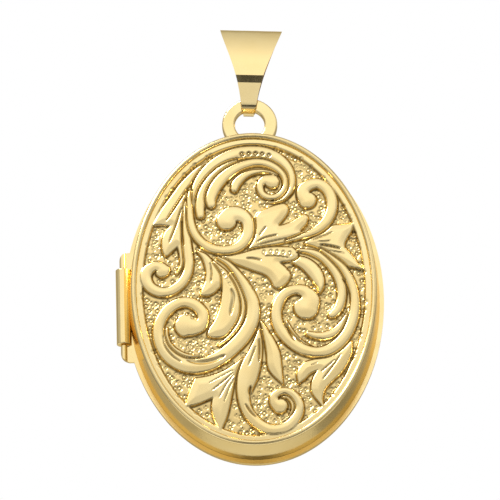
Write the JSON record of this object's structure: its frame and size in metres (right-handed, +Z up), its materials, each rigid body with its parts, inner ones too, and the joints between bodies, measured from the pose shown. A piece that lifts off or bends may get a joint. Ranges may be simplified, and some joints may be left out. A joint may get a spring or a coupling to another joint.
{
  "type": "oval hinged locket",
  "caption": "Oval hinged picture locket with a raised rim, a scroll relief front, a soldered hanger ring and a tapered folded bail.",
  "frame": {"origin": "inside top of the bail, where the neck chain bears, on the locket's centre line", "axes": "+Z up as it hangs, front cover faces -Y, hinge on the -X side"},
  "size_m": [0.0205, 0.0052, 0.0356],
  "materials": {
    "relief_gold": "die-struck yellow gold, polished high spots, darker hollows",
    "polished_gold": "polished yellow gold with light handling wear",
    "frame_gold": "thin yellow gold picture frame, satin",
    "clear_window": "clear acetate sheet",
    "blank_card": "plain matt card backing"
  },
  "bodies": {
    "bail": {"bail": "polished_gold"},
    "back_half": {"hanger_ring": "polished_gold", "back_cover": "polished_gold", "snap_rim": "polished_gold", "hinge_upper_lug": "polished_gold", "hinge_lower_lug": "polished_gold", "hinge_pin": "polished_gold", "back_picture_frame": "frame_gold", "back_picture_window": "clear_window", "back_picture_blank": "blank_card"},
    "front_half": {"front_cover": "relief_gold", "hinge_centre_knuckle": "polished_gold", "front_picture_frame": "frame_gold", "front_picture_window": "clear_window", "front_picture_blank": "blank_card"}
  },
  "joints": [
    {"name": "bail_swing", "type": "hinge", "parent": "bail", "child": "back_half", "pos_m": [0, 0, -0.006], "axis": [1, 0, 0], "range_deg": [-70, 70]},
    {"name": "cover_hinge", "type": "hinge", "parent": "back_half", "child": "front_half", "pos_m": [-0.01002, -0.00035, -0.02248], "axis": [0, 0, -1], "range_deg": [0, 180]}
  ]
}
